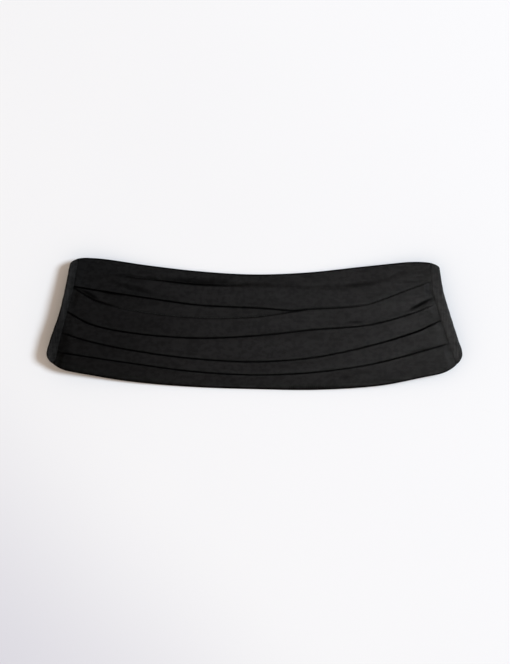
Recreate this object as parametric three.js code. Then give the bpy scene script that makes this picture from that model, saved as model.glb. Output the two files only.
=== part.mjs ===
// A pleated cummerbund that lies face up with its strap folded flat beneath it.
// Millimetres, +X along the sash, +Y from its lower edge to its upper edge, +Z out of its face.
// The origin is the centre of the bounding box, on the surface that the sash lies on.
//
// The front is one cloth folded into knife pleats that open upwards, with its long edges turned under.
// A folded band finishes each end, and a strap in two halves runs from end to end below, joined by a
// plain clasp.

import * as THREE from "three";

// The sash
const PANEL_HEIGHT = 120; // across the pleats, at mid length
const PLEATED_LENGTH = 402; // between the two end seams, at mid height
const END_BAND_WIDTH = 9;
const END_BAND_THICKNESS = 6; // at mid height, where it meets the thickest pleats
const LEFT_LIFT = 11; // how high each end curls off the surface
const RIGHT_LIFT = 9;
const FLAT_SHARE = 0.15; // the share of each half that lies flat

// The cloth
const CLOTH = 1;
const GAP = 0.3; // between two pieces that touch
const PLEAT_GAP = 0.2; // between two folded layers of one cloth
const HEM = 7; // how much of the front cloth is turned under along each edge
const PLEAT_SETTLE = 0.17; // share of the height in which a pleat comes down off the layers below it

// The strap and its clasp
const STRAP_WIDTH = 25;
const STRAP_THICKNESS = 1.2;
const STRAP_HEIGHT = 0.645; // of its centre line, as a share of PANEL_HEIGHT above the lower edge
const STRAP_TAIL = 20; // sewn under each end of the sash
const STRAP_TURN = 2.2; // centre line radius where the strap turns under
const STRAP_SETBACK = 3.8; // of that turn inside the end's outer edge, which slants over its width
const STRAP_DESCENT = 58; // length in which the strap comes down to the surface
const CLASP_LENGTH = 30;
const CLASP_WALL = 0.8;
const CLASP_SIDE = 1.5;
const CLASP_CORNER = 0.7;
const CLASP_RISE = 16; // length in which the strap rises into the clasp
const CLASP_MEETING_GAP = 3; // between the two strap ends in the clasp

// Places along the sash, from the left seam at -1 to the right seam at 1.
const PLACES = { l4: -1, l3: -0.85, l2: -0.6, l1: -0.3, mid: 0, r1: 0.3, r2: 0.6, r3: 0.85, r4: 1 };

// Heights at those places as shares of PANEL_HEIGHT above the middle of the lower edge.
const UPPER_EDGE = {
  l4: 1.147, l3: 1.132, l2: 1.078, l1: 1.026, mid: 1, r1: 1.017, r2: 1.065, r3: 1.104, r4: 1.126,
};
const LOWER_EDGE = {
  l4: 0.184, l3: 0.134, l2: 0.065, l1: 0.019, mid: 0, r1: -0.006, r2: 0.03, r3: 0.113, r4: 0.16,
};
// The folded edge of each pleat, from the top one down. tuck is the cloth hidden behind the pleat.
const PLEATS = [
  {
    l4: 1.065, l3: 1.03, l2: 0.965, l1: 0.913, mid: 0.916, r1: 0.895, r2: 0.913, r3: 1.02, r4: 1.065,
    tuck: 0.05,
  },
  {
    l4: 0.893, l3: 0.855, l2: 0.797, l1: 0.733, mid: 0.709, r1: 0.68, r2: 0.714, r3: 0.84, r4: 0.918,
    tuck: 0.035,
  },
  {
    l4: 0.886, l3: 0.767, l2: 0.68, l1: 0.633, mid: 0.639, r1: 0.697, r2: 0.734, r3: 0.861, r4: 0.943,
    tuck: 0.055,
  },
  {
    l4: 0.676, l3: 0.56, l2: 0.482, l1: 0.446, mid: 0.465, r1: 0.517, r2: 0.558, r3: 0.658, r4: 0.749,
    tuck: 0.055,
  },
  {
    l4: 0.493, l3: 0.418, l2: 0.332, l1: 0.266, mid: 0.239, r1: 0.277, r2: 0.383, r3: 0.5, r4: 0.602,
    tuck: 0.055,
  },
  {
    l4: 0.325, l3: 0.285, l2: 0.221, l1: 0.153, mid: 0.124, r1: 0.147, r2: 0.224, r3: 0.331, r4: 0.398,
    tuck: 0.05,
  },
];
// The rounded corners: run along the edge and rise at the end, as shares of PANEL_HEIGHT.
const CORNERS = {
  upperLeft: { run: 0.15, rise: 0.065 },
  upperRight: { run: 0.33, rise: 0.075 },
  lowerLeft: { run: 0.23, rise: 0.15 },
  lowerRight: { run: 0.3, rise: 0.19 },
};
// Five heights at an end, as shares of PANEL_HEIGHT above the middle of the lower edge.
const END_HEIGHTS = { foot: 0.33, low: 0.45, middle: 0.65, high: 0.85, head: 1.05 };
// How far each seam stands from mid length there, as shares of half the PLEATED_LENGTH.
const SEAMS = {
  left: { foot: 1.024, low: 1.007, middle: 0.976, high: 0.944, head: 0.923 },
  right: { foot: 1.022, low: 0.997, middle: 0.958, high: 0.924, head: 0.915 },
};
// The width of each end band there, as shares of END_BAND_WIDTH.
const BAND_WIDTHS = {
  left: { foot: 1.17, low: 1.07, middle: 0.83, high: 0.89, head: 0.84 },
  right: { foot: 1.22, low: 1.21, middle: 1.23, high: 1.21, head: 0.98 },
};

// How finely the curves are cut
const STATION_STEP = 0.07; // along the sash, as a share of half its length
const END_STATIONS = [0.95, 0.975, 1]; // closer together where the corners are round
const BAND_SECTIONS = 18;
const TURN_STEPS = 8;
const SLOPE_STEPS = 8;

// Heights of the layers above the underside of the sash
const FRONT_UNDERSIDE = CLOTH + GAP;
const SASH_THICKNESS = FRONT_UNDERSIDE + CLOTH;
const EDGE_RADIUS = SASH_THICKNESS / 2;
const PLEAT_PITCH = CLOTH + PLEAT_GAP;
const FOLD_REACH = (PLEAT_PITCH + CLOTH) / 2; // from a fold's centre to its visible edge
const STRAP_CENTRE = STRAP_HEIGHT * PANEL_HEIGHT;
const CLASP_HEIGHT = 2 * CLASP_WALL + 2 * GAP + STRAP_THICKNESS;
const CLASP_WIDTH = STRAP_WIDTH + 2 * GAP + 2 * CLASP_SIDE;

const smooth = (share) => THREE.MathUtils.smoothstep(share, 0, 1);

// A smooth curve through a row of named values: cubic pieces whose slopes are those of the neighbours.
function along(row, places, at) {
  const names = Object.keys(places).filter((name) => name in row);
  const x = names.map((name) => places[name]);
  const y = names.map((name) => row[name]);
  const slope = (i) => {
    const a = Math.max(i - 1, 0);
    const b = Math.min(i + 1, x.length - 1);
    return (y[b] - y[a]) / (x[b] - x[a]);
  };
  const place = THREE.MathUtils.clamp(at, x[0], x[x.length - 1]);
  const i = Math.min(Math.max(x.findIndex((value) => value >= place), 1), x.length - 1) - 1;
  const step = x[i + 1] - x[i];
  const u = (place - x[i]) / step;
  const rise = y[i] * (1 + 2 * u) * (1 - u) ** 2 + y[i + 1] * u * u * (3 - 2 * u);
  const lean = slope(i) * u * (1 - u) ** 2 - slope(i + 1) * u * u * (1 - u);
  return rise + step * lean + slope(i) * (at - place);
}

const sideName = (side) => (side < 0 ? "left" : "right");
const cornerAt = (edge, side) => CORNERS[edge + (side < 0 ? "Left" : "Right")];

// How far the seam of one side stands from mid length, at a height.
const seamAt = (side, height) =>
  (PLEATED_LENGTH / 2) * along(SEAMS[sideName(side)], END_HEIGHTS, height / PANEL_HEIGHT);

// The width of an end band before its corners are rounded.
const bandWidth = (side, height) => {
  const at = THREE.MathUtils.clamp(height / PANEL_HEIGHT, END_HEIGHTS.foot, END_HEIGHTS.head);
  return END_BAND_WIDTH * along(BAND_WIDTHS[sideName(side)], END_HEIGHTS, at);
};

// How far a round corner draws its edge in, at a distance from the outer end, and the reverse.
function cornerRise(corner, distance) {
  const share = Math.max(0, 1 - distance / (corner.run * PANEL_HEIGHT));
  return corner.rise * PANEL_HEIGHT * (1 - Math.sqrt(1 - Math.min(1, share) ** 2));
}
function cornerInset(corner, rise) {
  const share = THREE.MathUtils.clamp(1 - rise / (corner.rise * PANEL_HEIGHT), 0, 1);
  return corner.run * PANEL_HEIGHT * (1 - Math.sqrt(1 - share ** 2));
}

// The heights of the upper and lower edge at a place along the sash, corners included.
function edgesAt(s) {
  const side = Math.sign(s) || 1;
  const upper = along(UPPER_EDGE, PLACES, s) * PANEL_HEIGHT;
  const lower = along(LOWER_EDGE, PLACES, s) * PANEL_HEIGHT;
  const fromEnd = (height) => bandWidth(side, height) + (1 - Math.abs(s)) * seamAt(side, height);
  return {
    upper: upper - cornerRise(cornerAt("upper", side), fromEnd(upper)),
    lower: lower + cornerRise(cornerAt("lower", side), fromEnd(lower)),
  };
}

// The sash lies flat in the middle and curls up towards its ends.
function lift(s) {
  const share = Math.max(0, (Math.abs(s) - FLAT_SHARE) / (1 - FLAT_SHARE));
  return (s < 0 ? LEFT_LIFT : RIGHT_LIFT) * share ** 2;
}

// Across its height the sash bows over the strap, far enough to clear the clasp.
const bowShare = (down, width) => {
  const half = width / 2 - EDGE_RADIUS;
  return 1 - Math.min(1, Math.abs(down - width / 2) / half) ** 2;
};
const MIDDLE = edgesAt(0);
const CLASP_EDGE = MIDDLE.upper - STRAP_CENTRE - CLASP_WIDTH / 2;
const FULL_WIDTH = MIDDLE.upper - MIDDLE.lower;
const BOW = (CLASP_HEIGHT + 2 * GAP - FRONT_UNDERSIDE) / bowShare(CLASP_EDGE, FULL_WIDTH);
const END_BOW = 0.5; // share of the bow that is left at the ends

const bow = (s, down, width) => BOW * (1 - (1 - END_BOW) * Math.min(1, s * s)) * bowShare(down, width);

// The point of the sash at a place along it, at a distance down from its upper edge and a height above
// its underside.
function onSash(s, down, up) {
  const { upper, lower } = edgesAt(s);
  const height = upper - down;
  const z = up + lift(s) + bow(s, down, upper - lower);
  return new THREE.Vector3(s * seamAt(s, height), height, z);
}

// The places of the cross-sections along the sash, out to the seams.
function stations() {
  const inner = [];
  for (let s = 0; s < END_STATIONS[0] - STATION_STEP / 2; s += STATION_STEP) inner.push(s);
  const right = [...inner.slice(1), ...END_STATIONS];
  return [...right.map((s) => -s).reverse(), 0, ...right];
}

// A flat cross-section of folded cloth, built up from pairs of one point on its face and one on its back.
// Where only one side is given, the pair shares the last point of the other side.
function crossSection() {
  const section = { face: [], back: [], pairs: [] };
  section.add = (facePoint, backPoint) => {
    if (facePoint) section.face.push(new THREE.Vector2(...facePoint));
    if (backPoint) section.back.push(new THREE.Vector2(...backPoint));
    section.pairs.push([section.face.length - 1, section.back.length - 1]);
  };
  return section;
}

// A closed solid through a row of cross-sections with as many points each. place turns a point of a
// cross-section, given with that section's number, into a point in space.
function loft(sections, place) {
  const { face, back, pairs } = sections[0];
  const count = face.length + back.length;
  const rings = sections.map((section, r) =>
    [...section.face, ...section.back.toReversed()].map((point) => place(point, r)));
  const index = [];
  for (let r = 0; r + 1 < rings.length; r += 1) {
    for (let i = 0; i < count; i += 1) {
      const next = (i + 1) % count;
      const a = r * count;
      const b = a + count;
      index.push(a + i, a + next, b + i, a + next, b + next, b + i);
    }
  }
  const last = (rings.length - 1) * count;
  for (let k = 0; k + 1 < pairs.length; k += 1) {
    const [face0, face1] = [pairs[k][0], pairs[k + 1][0]];
    const [back0, back1] = [pairs[k][1], pairs[k + 1][1]].map((j) => count - 1 - j);
    if (face0 !== face1) index.push(face1, face0, back0, last + face0, last + face1, last + back0);
    if (back0 !== back1) index.push(back0, back1, face1, last + back1, last + back0, last + face1);
  }
  return facingOut(rings.flat().flatMap((point) => point.toArray()), index);
}

// The geometry of a closed mesh, turned round if its faces point inwards.
function facingOut(positions, index) {
  const corner = (i) => new THREE.Vector3().fromArray(positions, 3 * i);
  let volume = 0;
  for (let i = 0; i < index.length; i += 3) {
    volume += corner(index[i]).dot(corner(index[i + 1]).cross(corner(index[i + 2])));
  }
  const geometry = new THREE.BufferGeometry();
  geometry.setAttribute("position", new THREE.Float32BufferAttribute(positions, 3));
  geometry.setIndex(volume < 0 ? index.toReversed() : index);
  geometry.computeVertexNormals();
  return geometry;
}

// The layers of the front cloth in the order in which it is folded: a face, the return behind the next
// pleat, the face of that pleat, and so on. Each is the stretch from one distance down to another.
function layersAt(s, width) {
  const { upper } = edgesAt(s);
  const folds = PLEATS.map((pleat) => upper - along(pleat, PLACES, s) * PANEL_HEIGHT + FOLD_REACH);
  const ends = PLEATS.map((pleat, i) => folds[i] + pleat.tuck * PANEL_HEIGHT);
  const layers = [{ from: EDGE_RADIUS, to: ends[0] }];
  folds.forEach((fold, i) => {
    layers.push({ from: fold, to: ends[i] });
    layers.push({ from: fold, to: i + 1 < folds.length ? ends[i + 1] : width - EDGE_RADIUS });
  });
  return { folds, ends, layers };
}

// A layer lies one pitch higher for each earlier layer below it, and settles gently past that
// layer's ends.
function levelOf(layers, index, down) {
  const settle = PLEAT_SETTLE * PANEL_HEIGHT;
  return layers.slice(0, index).reduce((level, { from, to }) => {
    const outside = Math.max(0, from - down, down - to);
    return level + PLEAT_PITCH * (1 - smooth(outside / settle));
  }, FRONT_UNDERSIDE + CLOTH / 2);
}

// The flat cross-section of the front cloth, from the hem behind its upper edge to that behind its lower
// edge. x is the distance down from the upper edge and y the height above the underside.
function frontSection(s) {
  const { upper, lower } = edgesAt(s);
  const width = upper - lower;
  const { folds, ends, layers } = layersAt(s, width);
  const section = crossSection();
  const half = CLOTH / 2;
  const straight = (down, level, facing) =>
    section.add([down, level + facing * half], [down, level - facing * half]);
  // A turn of the cloth about a centre, bulging to -1 or 1, with its face outside or inside.
  const turn = (down, level, radius, bulge, angles, faceOutside) => {
    const point = (angle, reach) => [
      down + bulge * reach * Math.cos(angle),
      level + reach * Math.sin(angle),
    ];
    angles.forEach((angle, i) => {
      const outside = point(angle, radius + half);
      const inside = i ? null : point(0, radius - half);
      section.add(faceOutside ? outside : inside, faceOutside ? inside : outside);
    });
  };
  const rising = [-Math.PI / 4, 0, Math.PI / 4];

  straight(EDGE_RADIUS + HEM, half, -1);
  straight(EDGE_RADIUS, half, -1);
  turn(EDGE_RADIUS, EDGE_RADIUS, EDGE_RADIUS - half, -1, rising, true);
  layers.forEach((layer, i) => {
    const level = (down) => levelOf(layers, i, down);
    if (i % 2) {
      turn(layer.to, level(layer.to) - PLEAT_PITCH / 2, PLEAT_PITCH / 2, 1, [0], false);
      [layer.to, layer.from].forEach((down) => straight(down, level(down), -1));
      turn(layer.from, level(layer.from) + PLEAT_PITCH / 2, PLEAT_PITCH / 2, -1, rising, true);
      return;
    }
    // The face is cut where the cloth behind it ends and where the next pleat begins.
    const inside = (down) => {
      const margin = (layer.to - layer.from) / 8;
      return THREE.MathUtils.clamp(down, layer.from + margin, layer.to - margin);
    };
    const cuts = [ends[i / 2 - 1], folds[i / 2]].filter((down) => down !== undefined);
    const inner = cuts.map(inside).sort((a, b) => a - b);
    const middle = (inner[0] + (inner[1] ?? (i ? layer.to : layer.from))) / 2;
    const downs = [layer.from, middle, ...inner, layer.to].sort((a, b) => a - b);
    downs.forEach((down) => straight(down, level(down), 1));
  });
  turn(width - EDGE_RADIUS, EDGE_RADIUS, EDGE_RADIUS - half, 1, rising.toReversed(), true);
  straight(width - EDGE_RADIUS, half, -1);
  straight(width - EDGE_RADIUS - HEM, half, -1);
  return section;
}

function pleatedFront() {
  const places = stations();
  return loft(places.map(frontSection), ({ x, y }, r) => onSash(places[r], x, y));
}

// How far an end band stands out from its seam at a height, its round corners included.
function bandReach(side, height) {
  const upper = along(UPPER_EDGE, PLACES, side) * PANEL_HEIGHT;
  const lower = along(LOWER_EDGE, PLACES, side) * PANEL_HEIGHT;
  const inset = Math.max(
    cornerInset(cornerAt("upper", side), upper - height),
    cornerInset(cornerAt("lower", side), height - lower),
  );
  return bandWidth(side, height) - inset;
}

// An end band is a folded strip, open towards the ends of the pleats that it is sewn to.
function endBand(side) {
  const slimmest = CLOTH + GAP;
  const edges = edgesAt(side * (1 + (2 * slimmest) / PLEATED_LENGTH));
  const heights = Array.from({ length: BAND_SECTIONS }, (_, i) => {
    const share = (1 - Math.cos((Math.PI * i) / (BAND_SECTIONS - 1))) / 2;
    return edges.upper + (edges.lower - edges.upper) * share;
  });
  const sections = heights.map((height) => {
    const fullness = bowShare(edges.upper - height, edges.upper - edges.lower + 2 * EDGE_RADIUS);
    const thickness = SASH_THICKNESS + (END_BAND_THICKNESS - SASH_THICKNESS) * fullness;
    const reach = Math.max(slimmest, bandReach(side, height));
    const round = Math.min(thickness / 2, reach / 2);
    const slot = Math.max(2 * GAP, reach - CLOTH - GAP / 2);
    const nose = (angle) => [
      reach - round + round * Math.cos(angle),
      (thickness / 2) * (1 + Math.sin(angle)),
    ];
    const section = crossSection();
    section.add([GAP, 0], [GAP, CLOTH]);
    section.add(nose(-Math.PI / 2), [slot, CLOTH]);
    section.add(nose(-Math.PI / 4), null);
    section.add(nose(0), [slot, thickness - CLOTH]);
    section.add(nose(Math.PI / 4), null);
    section.add(nose(Math.PI / 2), null);
    section.add([GAP, thickness], [GAP, thickness - CLOTH]);
    return section;
  });
  return loft(sections, ({ x, y }, r) => onEnd(side, heights[r], x, y));
}

// The point of an end at a height on its seam, a distance out from the seam and a height above the
// underside.
function onEnd(side, height, out, up) {
  const seam = seamAt(side, height);
  const { upper, lower } = edgesAt(side);
  const s = side * (1 + out / seam);
  const z = up + lift(s) + bow(side, upper - height, upper - lower);
  return new THREE.Vector3(side * (seam + out), height, z);
}

// The height of the sash's underside over the full width of the strap, at a distance from mid length.
function undersideOverStrap(side, x) {
  const across = [-1, 0, 1].map((i) => {
    const height = STRAP_CENTRE + (i * STRAP_WIDTH) / 2;
    const seam = seamAt(side, height);
    const s = side * Math.min(x / seam, 1);
    const { upper, lower } = edgesAt(s);
    return lift((side * x) / seam) + bow(s, upper - height, upper - lower);
  });
  return Math.min(...across);
}

// The strap's centre line from its sewn tail, round the turn under the end, down to the surface and
// into the clasp. x is the distance from mid length and y the height.
function strapPath(side) {
  const half = STRAP_THICKNESS / 2;
  const seam = seamAt(side, STRAP_CENTRE);
  const turnX = seam + bandReach(side, STRAP_CENTRE) - STRAP_SETBACK - STRAP_TURN - half;
  const tail = (x) => undersideOverStrap(side, x) - GAP - half;
  const path = [];
  for (let i = 0; i <= SLOPE_STEPS; i += 1) {
    const x = turnX - STRAP_TAIL * (1 - i / SLOPE_STEPS);
    path.push(new THREE.Vector2(x, tail(x)));
  }
  const centre = tail(turnX) - STRAP_TURN;
  for (let i = 1; i <= TURN_STEPS; i += 1) {
    const angle = Math.PI / 2 - (Math.PI * i) / TURN_STEPS;
    const x = turnX + STRAP_TURN * Math.cos(angle);
    path.push(new THREE.Vector2(x, centre + STRAP_TURN * Math.sin(angle)));
  }
  const start = centre - STRAP_TURN;
  for (let i = 1; i <= SLOPE_STEPS; i += 1) {
    const share = i / SLOPE_STEPS;
    path.push(new THREE.Vector2(turnX - STRAP_DESCENT * share, start + (half - start) * smooth(share)));
  }
  const inClasp = CLASP_WALL + GAP + half;
  for (let i = 0; i <= SLOPE_STEPS; i += 1) {
    const share = i / SLOPE_STEPS;
    const x = CLASP_LENGTH / 2 + CLASP_RISE * (1 - share);
    path.push(new THREE.Vector2(x, half + (inClasp - half) * smooth(share)));
  }
  path.push(new THREE.Vector2(CLASP_MEETING_GAP / 2, inClasp));
  return path;
}

// A flat strap of one width carried along its path.
function strapHalf(side) {
  const path = strapPath(side);
  const half = STRAP_THICKNESS / 2;
  const edge = STRAP_WIDTH / 2;
  const upright = path.map((point, i) => {
    const heading = path[Math.min(i + 1, path.length - 1)].clone().sub(path[Math.max(i - 1, 0)]);
    return new THREE.Vector2(-heading.y, heading.x).normalize();
  });
  const section = crossSection();
  section.add([-edge, half], [-edge, -half]);
  section.add([edge, half], [edge, -half]);
  return loft(path.map(() => section), ({ x, y }, i) => {
    const point = path[i].clone().addScaledVector(upright[i], y);
    return new THREE.Vector3(side * point.x, STRAP_CENTRE + x, point.y);
  });
}

// A flat sleeve that both strap ends slide into.
function clasp() {
  const halfWidth = CLASP_WIDTH / 2;
  const outline = new THREE.Shape();
  outline.moveTo(-halfWidth + CLASP_CORNER, 0);
  outline.lineTo(halfWidth - CLASP_CORNER, 0);
  outline.lineTo(halfWidth, CLASP_CORNER);
  outline.lineTo(halfWidth, CLASP_HEIGHT - CLASP_CORNER);
  outline.lineTo(halfWidth - CLASP_CORNER, CLASP_HEIGHT);
  outline.lineTo(-halfWidth + CLASP_CORNER, CLASP_HEIGHT);
  outline.lineTo(-halfWidth, CLASP_HEIGHT - CLASP_CORNER);
  outline.lineTo(-halfWidth, CLASP_CORNER);
  outline.closePath();
  const pocket = new THREE.Path();
  const side = STRAP_WIDTH / 2 + GAP;
  pocket.moveTo(-side, CLASP_WALL);
  pocket.lineTo(-side, CLASP_HEIGHT - CLASP_WALL);
  pocket.lineTo(side, CLASP_HEIGHT - CLASP_WALL);
  pocket.lineTo(side, CLASP_WALL);
  pocket.closePath();
  outline.holes.push(pocket);
  const geometry = new THREE.ExtrudeGeometry(outline, { depth: CLASP_LENGTH, bevelEnabled: false });
  geometry.rotateX(Math.PI / 2).rotateZ(Math.PI / 2);
  return geometry.translate(-CLASP_LENGTH / 2, STRAP_CENTRE, 0);
}

const satin = { color: 0x1b1b1c, roughness: 0.55, metalness: 0 };
const bandCloth = { color: 0x242424, roughness: 0.6, metalness: 0 };
const webbing = { color: 0x161616, roughness: 0.9, metalness: 0 };
const plastic = { color: 0x0f0f10, roughness: 0.35, metalness: 0 };

function piece(name, geometry, finish) {
  const mesh = new THREE.Mesh(geometry, new THREE.MeshStandardMaterial(finish));
  mesh.name = name;
  return mesh;
}

const cummerbund = new THREE.Group();
cummerbund.add(
  piece("pleated_front", pleatedFront(), satin),
  piece("end_band_left", endBand(-1), bandCloth),
  piece("end_band_right", endBand(1), bandCloth),
  piece("strap_left", strapHalf(-1), webbing),
  piece("strap_right", strapHalf(1), webbing),
  piece("clasp", clasp(), plastic),
);
const box = new THREE.Box3().setFromObject(cummerbund);
const centre = box.getCenter(new THREE.Vector3());
cummerbund.position.set(-centre.x, -centre.y, -box.min.z);

export default cummerbund;
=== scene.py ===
"""A black pleated cummerbund lying face up on a pale surface, seen from straight above.

Metres. +X runs along the sash, +Y from its lower edge to its upper edge, +Z out of its face.
"""

import math

import bpy
import numpy as np
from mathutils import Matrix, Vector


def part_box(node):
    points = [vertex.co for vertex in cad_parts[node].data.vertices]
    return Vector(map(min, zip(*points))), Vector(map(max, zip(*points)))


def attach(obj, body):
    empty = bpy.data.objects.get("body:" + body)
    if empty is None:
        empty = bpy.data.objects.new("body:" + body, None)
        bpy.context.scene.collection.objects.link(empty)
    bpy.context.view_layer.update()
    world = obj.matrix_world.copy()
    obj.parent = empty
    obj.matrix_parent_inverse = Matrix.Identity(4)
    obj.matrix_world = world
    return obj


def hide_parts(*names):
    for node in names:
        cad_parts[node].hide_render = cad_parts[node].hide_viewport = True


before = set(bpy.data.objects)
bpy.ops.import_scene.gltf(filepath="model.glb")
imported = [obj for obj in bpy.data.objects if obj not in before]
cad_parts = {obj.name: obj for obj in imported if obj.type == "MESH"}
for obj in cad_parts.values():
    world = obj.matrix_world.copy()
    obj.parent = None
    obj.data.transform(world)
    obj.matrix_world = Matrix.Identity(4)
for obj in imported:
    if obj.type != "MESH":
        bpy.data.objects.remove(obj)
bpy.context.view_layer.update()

MM = 0.001

# Sizes of the sash, as in the part's source

PANEL_HEIGHT = 120 * MM
PLEATED_LENGTH = 402 * MM
END_BAND_WIDTH = 9 * MM
LEFT_LIFT = 11 * MM
RIGHT_LIFT = 9 * MM
FLAT_SHARE = 0.15
SOLID_CLOTH = 1 * MM
GAP = 0.3 * MM
HEM = 7 * MM
PLEAT_SETTLE = 0.3
STRAP_WIDTH = 25 * MM
STRAP_THICKNESS = 1.2 * MM
STRAP_HEIGHT = 0.645
STRAP_TAIL = 20 * MM
STRAP_TURN = 2.2 * MM
STRAP_SETBACK = 3.8 * MM
STRAP_DESCENT = 58 * MM
CLASP_LENGTH = 30 * MM
CLASP_WALL = 0.8 * MM
CLASP_SIDE = 1.5 * MM
CLASP_RISE = 16 * MM
CLASP_MEETING_GAP = 3 * MM

# The heights of the two long edges, as shares of the height at mid length, at nine places from
# the left seam at -1 to the right seam at 1.
PLACES = np.array([-1, -0.85, -0.6, -0.3, 0, 0.3, 0.6, 0.85, 1])
UPPER_EDGE = [1.147, 1.132, 1.078, 1.026, 1, 1.017, 1.065, 1.104, 1.126]
LOWER_EDGE = [0.184, 0.134, 0.065, 0.019, 0, -0.006, 0.03, 0.113, 0.16]

# Each pleat from the top one down: its folded edge at the nine places and the cloth tucked behind
# it, both as shares of the height. Set says how firmly it is pressed: 1 is flat, and below 0.5 it
# opens out into a soft wave. Gap is how far the crevice above its edge stands open, in
# millimetres; it also sets how much painted shade lies in that crevice.
PLEATS = [
    {
        "edge": [1.065, 1.03, 0.965, 0.913, 0.916, 0.895, 0.913, 1.02, 1.065],
        "tuck": 0.05,
        "set": [0.1, 0.2, 0.85, 0.95, 0.5, 0.22, 0.2, 0.06, 0.06],
        "gap": [0, 0.2, 1.3, 2.3, 0.4, 0, 0, 0, 0],
    },
    {
        "edge": [0.893, 0.855, 0.797, 0.733, 0.709, 0.68, 0.714, 0.84, 0.918],
        "tuck": 0.035,
        "set": [1, 1, 1, 1, 1, 1, 1, 1, 1],
        "gap": [2.6, 2.4, 2.2, 1.9, 1.8, 1.7, 1.2, 1.0, 0.6],
    },
    {
        "edge": [0.886, 0.767, 0.68, 0.633, 0.639, 0.697, 0.734, 0.861, 0.943],
        "tuck": 0.055,
        "set": [1, 0.9, 0.75, 0.7, 0.75, 1, 1, 1, 1],
        "gap": [2.3, 2.0, 0.1, 0.5, 0.9, 1.55, 1.2, 1.05, 0.6],
    },
    {
        "edge": [0.676, 0.56, 0.482, 0.446, 0.465, 0.517, 0.558, 0.658, 0.749],
        "tuck": 0.055,
        "set": [1, 1, 1, 1, 1, 1, 1, 1, 1],
        "gap": [2.2, 2.1, 1.9, 1.8, 1.7, 1.5, 1.4, 1.15, 0.2],
    },
    {
        "edge": [0.493, 0.418, 0.332, 0.266, 0.239, 0.277, 0.383, 0.5, 0.602],
        "tuck": 0.055,
        "set": [1, 1, 1, 1, 1, 1, 1, 1, 1],
        "gap": [1.9, 1.9, 1.8, 1.75, 1.7, 1.55, 1.5, 2.0, 1.6],
    },
    {
        "edge": [0.325, 0.285, 0.221, 0.153, 0.124, 0.147, 0.224, 0.331, 0.398],
        "tuck": 0.05,
        "set": [1, 1, 1, 1, 1, 1, 1, 1, 1],
        "gap": [2.0, 1.9, 1.85, 1.75, 1.7, 1.6, 1.4, 1.3, 1.1],
    },
]
# The run and the rise of each round corner, as shares of the height.
CORNERS = {
    "upper": {-1: (0.15, 0.065), 1: (0.33, 0.075)},
    "lower": {-1: (0.23, 0.15), 1: (0.3, 0.19)},
}
# At five heights, as shares: how far out each seam lies, as a share of half the pleated length,
# and how wide each end band is, as a share of its named width.
END_HEIGHTS = np.array([0.33, 0.45, 0.65, 0.85, 1.05])
SEAMS = {
    -1: [1.024, 1.007, 0.976, 0.944, 0.923],
    1: [1.022, 0.997, 0.958, 0.924, 0.915],
}
BAND_WIDTHS = {
    -1: [1.17, 1.07, 0.83, 0.89, 0.84],
    1: [1.22, 1.21, 1.23, 1.21, 0.98],
}

SASH_THICKNESS = 2 * SOLID_CLOTH + GAP
EDGE_RADIUS = SASH_THICKNESS / 2
STRAP_CENTRE = STRAP_HEIGHT * PANEL_HEIGHT
CLASP_HEIGHT = 2 * CLASP_WALL + 2 * GAP + STRAP_THICKNESS
CLASP_WIDTH = STRAP_WIDTH + 2 * GAP + 2 * CLASP_SIDE

# The cloth as it looks: thinner than the solid that stands for it.
CLOTH = 0.5 * MM
PLEAT_PITCH = 0.65 * MM
FOLD_REACH = 1 * MM
OPENING = 3.5 * MM  # how far a fully opened pleat spreads to each side of its edge
LIP_RISE = 0.12  # how high a folded edge lifts, as a share of its crevice
LIP_WIDTH = 3.5 * MM
DIP_DEPTH = 0.6  # how deep the cloth above it sinks, as a share of its crevice
DIP_REACH = 1.4 * MM
PUFF = 0.4 * MM  # how far that cloth rises before it sinks
PUFF_REACH = 9 * MM
FULL_GAP = 2.3 * MM  # a crevice this wide gets full painted shade

# At the seams the pleats are pressed down into the end bands.
PRESS_FULL = 3 * MM
PRESS_START = 9 * MM
SEAM_ALLOWANCE = 1.5 * MM
CORNER_THICKNESS = 2.4 * MM
MIDDLE_THICKNESS = 4.4 * MM
SEAM_DROP = 0.45 * MM  # how far the band's top layer sinks towards the seam
LAYER_GAP = 0.1 * MM
UNDER_BAND = CLOTH + LAYER_GAP

# The clasp sits at mid length, so its box says where the source's own origin lies in this frame.
clasp_low, clasp_high = (np.array(corner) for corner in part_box("clasp"))
ORIGIN_X = (clasp_low[0] + clasp_high[0]) / 2
ORIGIN_Y = (clasp_low[1] + clasp_high[1]) / 2 - STRAP_CENTRE


# Shape of the sash


def smooth(share):
    """3 t squared minus 2 t cubed, with t held between 0 and 1."""
    t = np.clip(share, 0, 1)
    return t * t * (3 - 2 * t)


def through(values, places, at):
    """A cubic curve through the values at the places, with the slope of each place's neighbours."""
    x = np.asarray(places, float)
    y = np.asarray(values, float)
    low = np.maximum(np.arange(len(x)) - 1, 0)
    high = np.minimum(np.arange(len(x)) + 1, len(x) - 1)
    slope = (y[high] - y[low]) / (x[high] - x[low])
    at = np.asarray(at, float)
    place = np.clip(at, x[0], x[-1])
    i = np.clip(np.searchsorted(x, place) - 1, 0, len(x) - 2)
    step = x[i + 1] - x[i]
    u = (place - x[i]) / step
    rise = y[i] * (1 + 2 * u) * (1 - u) ** 2 + y[i + 1] * u * u * (3 - 2 * u)
    lean = slope[i] * u * (1 - u) ** 2 - slope[i + 1] * u * u * (1 - u)
    beyond = np.where(at < place, slope[0], slope[-1])
    return rise + step * lean + beyond * (at - place)


def seam_at(side, height):
    """Half the pleated length times the seam's share at that height, on the left or the right."""
    share = height / PANEL_HEIGHT
    left = through(SEAMS[-1], END_HEIGHTS, share)
    right = through(SEAMS[1], END_HEIGHTS, share)
    return PLEATED_LENGTH / 2 * np.where(np.asarray(side) < 0, left, right)


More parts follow.
